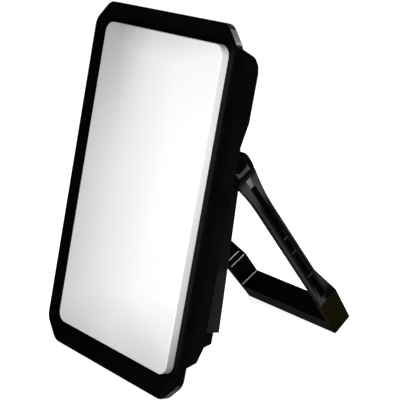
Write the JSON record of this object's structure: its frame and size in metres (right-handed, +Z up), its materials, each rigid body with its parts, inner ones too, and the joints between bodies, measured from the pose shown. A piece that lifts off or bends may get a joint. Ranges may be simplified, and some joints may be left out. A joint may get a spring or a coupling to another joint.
{
  "type": "led_work_light",
  "caption": "Portable LED work light: eight-sided panel with raised diffuser, boxes on its back for driver and cells, and a swinging stand that also serves as a handle",
  "frame": {"origin": "middle of the light's footprint on the ground, under the centre of its bounding box", "axes": "+X to the right seen from the front, +Y rearwards from the light face to the stand, +Z up"},
  "size_m": [0.2116, 0.2462, 0.3226],
  "materials": {
    "frame_black": "fine satin grain",
    "housing_black": "fine satin grain",
    "stand_black": "fine satin grain",
    "diffuser_white": "frosted",
    "seal_rubber": "matt",
    "reflector_white": "semi-gloss",
    "board_white": "white coated",
    "led_yellow": "glossy",
    "screw_steel": "zinc plated",
    "bolt_steel": "satin",
    "board_green": "glossy lacquer",
    "parts_dark": "glossy",
    "cell_blue": "shrink sleeve",
    "contact_metal": "bright",
    "inner_black": "satin",
    "button_grey": "satin",
    "foot_rubber": "matt olive",
    "flap_rubber": "matt",
    "washer_nylon": "natural nylon",
    "lead_red": "soft jacket"
  },
  "bodies": {
    "light": {"front_bezel": "frame_black", "diffuser": "diffuser_white", "lens_seal": "seal_rubber", "reflector": "reflector_white", "led_board": "board_white", "led_chips": "led_yellow", "board_screws": "screw_steel", "rear_housing": "housing_black", "housing_screws": "bolt_steel", "rear_box": "housing_black", "box_screws": "screw_steel", "driver_board": "board_green", "driver_parts": "parts_dark", "driver_screws": "screw_steel", "battery_cover": "housing_black", "cover_screws": "bolt_steel", "battery_holder": "inner_black", "battery_cells": "cell_blue", "battery_contacts": "contact_metal", "charge_socket": "inner_black", "flap_pin": "bolt_steel", "button_ring": "inner_black", "switch_body": "inner_black", "switch_board": "board_green", "switch_screws": "screw_steel", "inner_leads": "lead_red", "pivot_bolts": "bolt_steel", "pivot_nuts": "screw_steel", "pivot_washers": "washer_nylon"},
    "stand": {"stand_frame": "stand_black", "stand_feet": "foot_rubber", "hub_caps": "stand_black"},
    "button": {"power_button": "button_grey"},
    "flap": {"socket_flap": "flap_rubber"}
  },
  "joints": [
    {"name": "stand_swing", "type": "hinge", "parent": "light", "child": "stand", "pos_m": [0, -0.02343, 0.19196], "axis": [1, 0, 0], "range_deg": [-48.5, 131.4]},
    {"name": "button_press", "type": "slide", "parent": "light", "child": "button", "axis": [0, -0.9744, 0.225], "range_m": [0, 0.001], "stiffness_N_per_m": 1500, "springref_m": -0.001},
    {"name": "flap_turn", "type": "hinge", "parent": "light", "child": "flap", "pos_m": [0.0495, -0.04373, 0.03069], "axis": [0, -0.225, -0.9744], "range_deg": [0, 120]}
  ]
}
